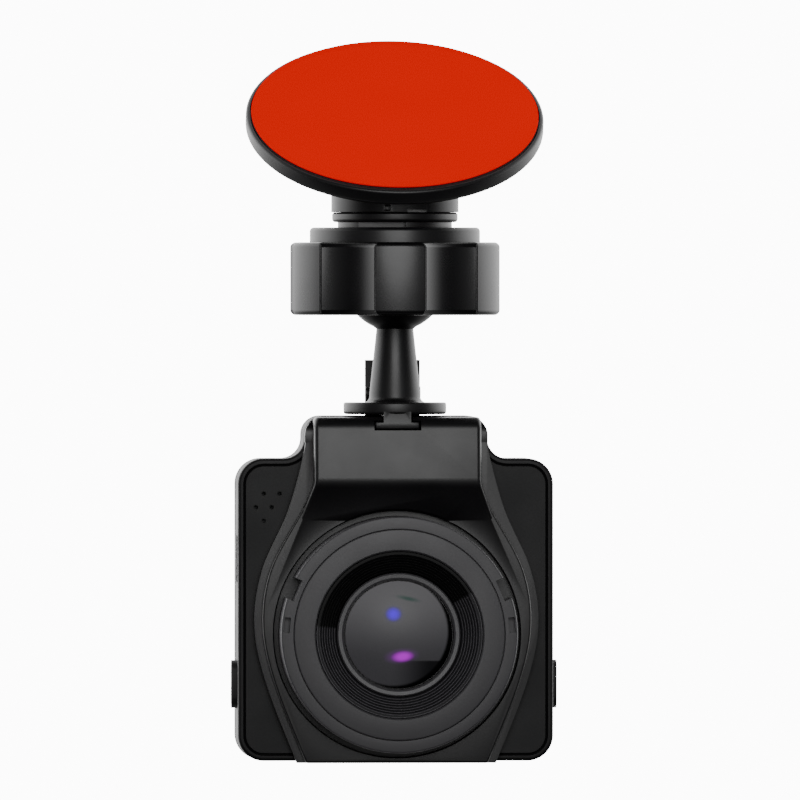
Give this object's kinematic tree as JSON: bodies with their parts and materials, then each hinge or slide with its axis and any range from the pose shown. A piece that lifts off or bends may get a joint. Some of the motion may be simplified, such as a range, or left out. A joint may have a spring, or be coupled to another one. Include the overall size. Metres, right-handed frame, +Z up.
{
  "type": "dash camera",
  "caption": "Square dash camera with a large round lens, hung from a round adhesive windscreen disc by a ball joint with a lobed lock nut.",
  "frame": {"origin": "centre of the adhesive face on the mount disc", "axes": "+Z up, -Y the way the lens looks, +X to the right as seen from in front of the lens"},
  "size_m": [0.057, 0.0456, 0.1266],
  "materials": {
    "black_moulding": "satin moulded ABS",
    "matt_black": "matt moulded plastic",
    "dark_trim": "satin dark grey moulding",
    "friction_rubber": "matt",
    "red_liner": "red film",
    "foam": "acrylic foam",
    "lens_glass": "coated",
    "filter_glass": "polished",
    "steel": "zinc plated",
    "barrel": "black anodised",
    "circuit_board": "solder mask",
    "chip": "moulded epoxy",
    "cell_foil": "laminated foil",
    "display": "polished",
    "card": "satin"
  },
  "bodies": {
    "mount_base": {"release_liner": "red_liner", "adhesive_foam": "foam", "mount_disc": "black_moulding"},
    "socket": {"ball_socket": "black_moulding"},
    "nut": {"lock_nut": "black_moulding"},
    "ball_tilt": {"upper_friction_pad": "friction_rubber"},
    "ball_lean": {"lower_friction_pad": "friction_rubber"},
    "camera": {"ball_stem": "black_moulding", "tab_pin": "steel", "front_shell": "black_moulding", "rear_cover": "black_moulding", "front_fascia": "black_moulding", "lens_bezel": "dark_trim", "trim_ring": "dark_trim", "light_baffle": "matt_black", "lens_barrel": "barrel", "front_lens_element": "lens_glass", "middle_lens_element": "lens_glass", "rear_lens_element": "lens_glass", "lens_holder": "matt_black", "image_sensor": "chip", "infrared_filter": "filter_glass", "main_board": "circuit_board", "processor": "chip", "microphone": "steel", "battery": "cell_foil", "speaker": "chip", "usb_socket": "steel", "card_socket": "steel", "display_window": "display", "display_panel": "display", "key_board": "circuit_board", "left_switch": "steel", "right_switch": "steel", "casing_screw_upper_left": "steel", "casing_screw_upper_right": "steel", "casing_screw_lower_left": "steel", "casing_screw_lower_right": "steel"},
    "release_tab_body": {"release_tab": "matt_black"},
    "memory_card_body": {"memory_card": "card"},
    "left_button_body": {"left_button": "matt_black"},
    "right_button_body": {"right_button": "matt_black"},
    "rear_key_1_body": {"rear_key_1": "matt_black"},
    "rear_key_2_body": {"rear_key_2": "matt_black"},
    "rear_key_3_body": {"rear_key_3": "matt_black"},
    "rear_key_4_body": {"rear_key_4": "matt_black"}
  },
  "joints": [
    {"name": "socket_twist", "type": "hinge", "parent": "mount_base", "child": "socket", "pos_m": [0, 0, -0.0176], "axis": [0, 0, 1], "range_deg": [0, 45]},
    {"name": "lock_nut_turn", "type": "hinge", "parent": "socket", "child": "nut", "pos_m": [0, 0, -0.029], "axis": [0, 0, 1], "range_deg": [0, 270]},
    {"name": "ball_tilt", "type": "hinge", "parent": "socket", "child": "ball_tilt", "pos_m": [0, 0, -0.029], "axis": [1, 0, 0], "range_deg": [-17, 17]},
    {"name": "ball_lean", "type": "hinge", "parent": "ball_tilt", "child": "ball_lean", "pos_m": [0, 0, -0.029], "axis": [0, 1, 0], "range_deg": [-17, 17]},
    {"name": "ball_swivel", "type": "hinge", "parent": "ball_lean", "child": "camera", "pos_m": [0, 0, -0.029], "axis": [0, 0, 1], "range_deg": [-180, 180]},
    {"name": "release_tab_press", "type": "hinge", "parent": "camera", "child": "release_tab_body", "pos_m": [0, 0.0064, -0.0491], "axis": [1, 0, 0], "range_deg": [0, 22], "stiffness_Nm_per_rad": 0.05},
    {"name": "left_button_press", "type": "slide", "parent": "camera", "child": "left_button_body", "axis": [1, 0, 0], "range_m": [0, 0.0004], "stiffness_N_per_m": 800},
    {"name": "right_button_press", "type": "slide", "parent": "camera", "child": "right_button_body", "axis": [-1, 0, 0], "range_m": [0, 0.0004], "stiffness_N_per_m": 800},
    {"name": "memory_card_slide", "type": "slide", "parent": "camera", "child": "memory_card_body", "axis": [1, 0, 0], "range_m": [0, 0.012]},
    {"name": "rear_key_1_press", "type": "slide", "parent": "camera", "child": "rear_key_1_body", "axis": [0, -1, 0], "range_m": [0, 0.0003], "stiffness_N_per_m": 800},
    {"name": "rear_key_2_press", "type": "slide", "parent": "camera", "child": "rear_key_2_body", "axis": [0, -1, 0], "range_m": [0, 0.0003], "stiffness_N_per_m": 800},
    {"name": "rear_key_3_press", "type": "slide", "parent": "camera", "child": "rear_key_3_body", "axis": [0, -1, 0], "range_m": [0, 0.0003], "stiffness_N_per_m": 800},
    {"name": "rear_key_4_press", "type": "slide", "parent": "camera", "child": "rear_key_4_body", "axis": [0, -1, 0], "range_m": [0, 0.0003], "stiffness_N_per_m": 800}
  ]
}
